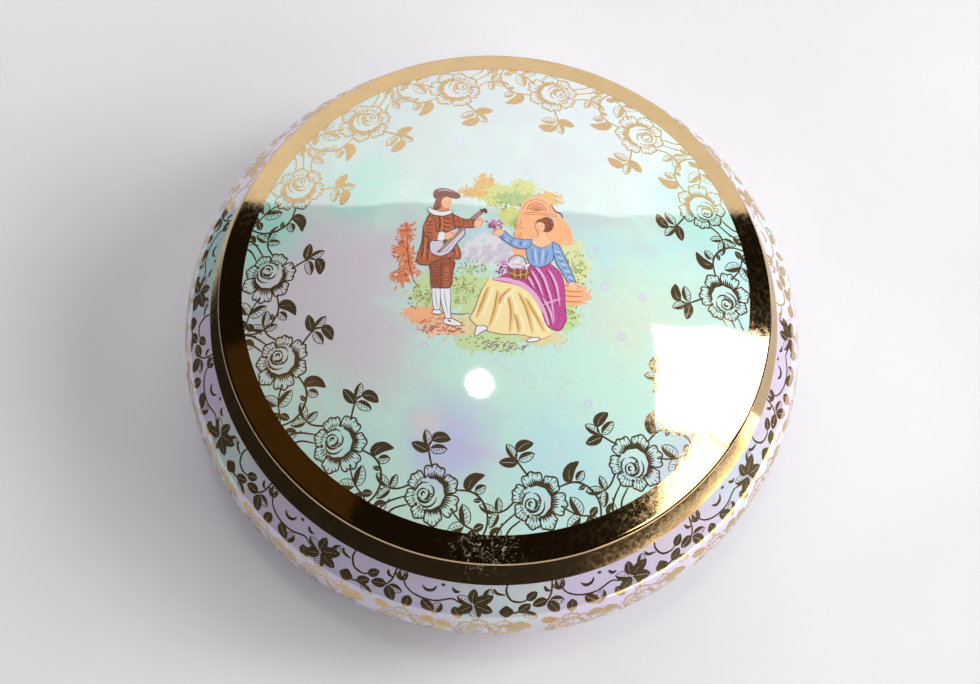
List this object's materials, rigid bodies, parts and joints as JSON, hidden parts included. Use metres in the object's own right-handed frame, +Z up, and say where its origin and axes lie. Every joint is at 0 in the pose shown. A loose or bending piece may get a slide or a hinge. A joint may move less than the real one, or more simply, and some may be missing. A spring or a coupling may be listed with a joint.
{
  "type": "porcelain trinket box",
  "caption": "Round porcelain trinket box: a low bellied bowl on a foot ring, closed by a shallow domed lid that lifts off a locating flange.",
  "frame": {"origin": "centre of the foot ring's underside, on the box's axis", "axes": "+Z up along the axis of both pieces, -Y towards the viewer with the picture on the lid upright"},
  "size_m": [0.1156, 0.1156, 0.052],
  "materials": {
    "lilac_lustre_glaze": "high-gloss porcelain glaze with a lilac mother-of-pearl lustre",
    "pearl_lustre_glaze": "high-gloss porcelain glaze with a pale green mother-of-pearl lustre",
    "white_glaze": "clear glossy glaze on white porcelain, inside and under the base",
    "bisque_foot": "bare fired porcelain, ground flat and matt",
    "gilding": "fired and burnished gold, lightly rubbed",
    "enamel_colours": "printed overglaze enamel colours, glossy",
    "sepia_line": "dark overglaze line work, glossy"
  },
  "bodies": {
    "bowl": {"bowl": "lilac_lustre_glaze"},
    "lid": {"lid": "pearl_lustre_glaze"}
  },
  "joints": [
    {"name": "lid_lift", "type": "slide", "parent": "bowl", "child": "lid", "axis": [0, 0, 1], "range_m": [0, 0.06]}
  ]
}
